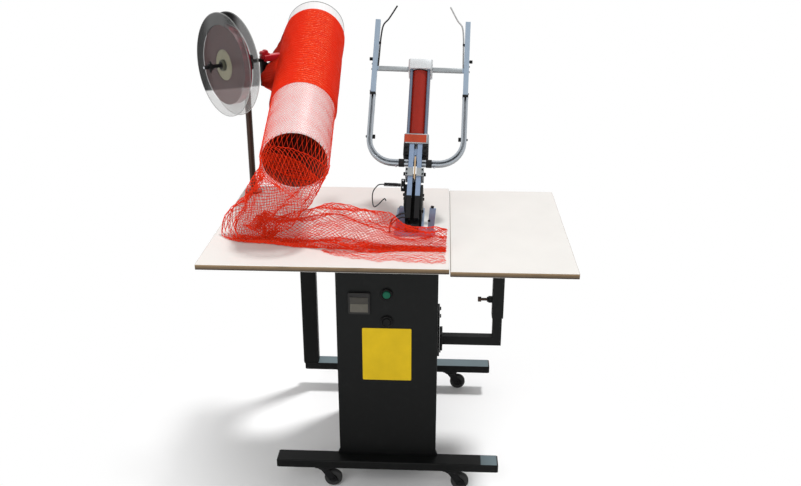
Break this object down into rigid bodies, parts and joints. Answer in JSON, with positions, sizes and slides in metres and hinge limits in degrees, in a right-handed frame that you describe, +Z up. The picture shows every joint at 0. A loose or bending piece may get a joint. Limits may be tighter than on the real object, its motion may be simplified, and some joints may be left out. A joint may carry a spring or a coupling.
{
  "type": "pneumatic net clipping machine",
  "caption": "Table-top pneumatic clipping machine for net bags: clipping head on a wheeled cabinet table, with a net tube and a tape reel on a pole.",
  "frame": {"origin": "centre of the machine's bounding box, on the floor", "axes": "+Z up, +X to the operator's right, +Y away from the operator"},
  "size_m": [1.0196, 0.8654, 1.2688],
  "materials": {
    "charcoal_paint": "satin charcoal paint",
    "black_steel": "black oxide",
    "white_laminate": "white laminated board with a brown edge",
    "blue_steel": "ground steel, blue-grey",
    "cap_aluminium": "satin anodised",
    "red_paint": "dark red paint",
    "black_plastic": "matt black",
    "green_plastic": "glossy green",
    "timer_plastic": "dark brown-grey",
    "chrome_rod": "polished",
    "wheel_rubber": "black rubber",
    "clear_plastic": "clear acrylic",
    "tape_maroon": "wound tape, maroon",
    "hub_cream": "yellowish clear plastic",
    "tube_pvc": "white plastic tube",
    "saddle_red": "glossy red",
    "net_orange": "orange-red knitted net",
    "knife_brass": "brushed",
    "hose_black": "black hose"
  },
  "bodies": {
    "stand": {"air_hose_1": "hose_black", "air_hose_2": "hose_black", "anvil": "black_steel", "arm_clamp": "black_steel", "barrel": "red_paint", "base_frame": "charcoal_paint", "black_bezel": "black_plastic", "bottom_cap": "cap_aluminium", "cabinet_shell": "charcoal_paint", "feed_collar": "cap_aluminium", "front_foot_beam": "charcoal_paint", "green_bezel": "black_plastic", "head_base": "blue_steel", "jaw_block": "black_steel", "left_board": "white_laminate", "left_guide_bar": "blue_steel", "left_magazine": "blue_steel", "left_post": "charcoal_paint", "left_side_plate": "charcoal_paint", "left_track": "blue_steel", "mount_block": "black_steel", "net_sleeve": "net_orange", "net_tail": "net_orange", "net_tube": "tube_pvc", "pole": "chrome_rod", "rear_cover": "charcoal_paint", "rear_foot_beam": "charcoal_paint", "reel_axle": "black_steel", "right_arm": "charcoal_paint", "right_guide_bar": "blue_steel", "right_magazine": "blue_steel", "right_side_plate": "charcoal_paint", "right_track": "blue_steel", "side_bracket": "charcoal_paint", "timer": "timer_plastic", "top_cap": "cap_aluminium", "trigger_switch": "black_plastic", "tube_saddle": "saddle_red"},
    "right_table": {"right_board": "white_laminate", "outer_tube": "charcoal_paint"},
    "clamp_screw": {"clamp_screw": "blue_steel"},
    "green_button": {"green_button": "green_plastic"},
    "black_button": {"black_button": "black_plastic"},
    "reel": {"reel_spool": "hub_cream", "reel_front_flange": "clear_plastic", "tape_roll": "tape_maroon"},
    "ram": {"piston_rod": "chrome_rod", "ram": "blue_steel"},
    "knife": {"knife": "knife_brass"},
    "left_pusher": {"left_pusher": "black_plastic"},
    "right_pusher": {"right_pusher": "black_plastic"},
    "trigger": {"trigger_whisker": "blue_steel"},
    "front_left_caster": {"front_left_fork": "black_steel"},
    "front_left_wheel": {"front_left_wheel": "wheel_rubber"},
    "front_right_caster": {"front_right_fork": "black_steel"},
    "front_right_wheel": {"front_right_wheel": "wheel_rubber"},
    "rear_left_caster": {"rear_left_fork": "black_steel"},
    "rear_left_wheel": {"rear_left_wheel": "wheel_rubber"},
    "rear_right_caster": {"rear_right_fork": "black_steel"},
    "rear_right_wheel": {"rear_right_wheel": "wheel_rubber"}
  },
  "joints": [
    {"name": "right_table_lift", "type": "slide", "parent": "stand", "child": "right_table", "axis": [0, 0, 1], "range_m": [-0.055, 0.05]},
    {"name": "clamp_screw_turn", "type": "hinge", "parent": "right_table", "child": "clamp_screw", "pos_m": [0.3438, -0.14267, 0.5377], "axis": [-1, 0, 0], "range_deg": [0, 360]},
    {"name": "green_button_press", "type": "slide", "parent": "stand", "child": "green_button", "axis": [0, 1, 0], "range_m": [0, 0.0025], "stiffness_N_per_m": 300, "springref_m": -0.002},
    {"name": "black_button_press", "type": "slide", "parent": "stand", "child": "black_button", "axis": [0, 1, 0], "range_m": [0, 0.0025], "stiffness_N_per_m": 300, "springref_m": -0.002},
    {"name": "reel_turn", "type": "hinge", "parent": "stand", "child": "reel", "pos_m": [-0.40255, 0.06909, 1.127], "axis": [0.7254, 0.6884, 0], "continuous": true},
    {"name": "ram_stroke", "type": "slide", "parent": "stand", "child": "ram", "axis": [-0.0262, -0.6426, -0.7658], "range_m": [0, 0.176]},
    {"name": "knife_stroke", "type": "slide", "parent": "stand", "child": "knife", "axis": [-0.0262, -0.6426, -0.7658], "range_m": [0, 0.118], "stiffness_N_per_m": 40, "springref_m": -0.004},
    {"name": "left_pusher_travel", "type": "slide", "parent": "stand", "child": "left_pusher", "axis": [-0.0262, -0.6426, -0.7658], "range_m": [-0.02, 0.085]},
    {"name": "right_pusher_travel", "type": "slide", "parent": "stand", "child": "right_pusher", "axis": [-0.0262, -0.6426, -0.7658], "range_m": [-0.02, 0.085]},
    {"name": "trigger_swing", "type": "hinge", "parent": "stand", "child": "trigger", "pos_m": [0.07472, -0.11653, 0.85075], "axis": [0, 0.766, -0.6428], "range_deg": [-10, 10], "stiffness_Nm_per_rad": 0.1},
    {"name": "front_left_swivel", "type": "hinge", "parent": "stand", "child": "front_left_caster", "pos_m": [-0.1302, -0.25067, 0], "axis": [0, 0, 1], "continuous": true},
    {"name": "front_left_roll", "type": "hinge", "parent": "front_left_caster", "child": "front_left_wheel", "pos_m": [-0.1052, -0.25067, 0.025], "axis": [0, 1, 0], "continuous": true},
    {"name": "front_right_swivel", "type": "hinge", "parent": "stand", "child": "front_right_caster", "pos_m": [0.2258, -0.25067, 0], "axis": [0, 0, 1], "continuous": true},
    {"name": "front_right_roll", "type": "hinge", "parent": "front_right_caster", "child": "front_right_wheel", "pos_m": [0.2508, -0.25067, 0.025], "axis": [0, 1, 0], "continuous": true},
    {"name": "rear_left_swivel", "type": "hinge", "parent": "stand", "child": "rear_left_caster", "pos_m": [-0.1302, 0.29533, 0], "axis": [0, 0, 1], "continuous": true},
    {"name": "rear_left_roll", "type": "hinge", "parent": "rear_left_caster", "child": "rear_left_wheel", "pos_m": [-0.1052, 0.29533, 0.025], "axis": [0, 1, 0], "continuous": true},
    {"name": "rear_right_swivel", "type": "hinge", "parent": "stand", "child": "rear_right_caster", "pos_m": [0.2258, 0.29533, 0], "axis": [0, 0, 1], "continuous": true},
    {"name": "rear_right_roll", "type": "hinge", "parent": "rear_right_caster", "child": "rear_right_wheel", "pos_m": [0.2508, 0.29533, 0.025], "axis": [0, 1, 0], "continuous": true}
  ]
}
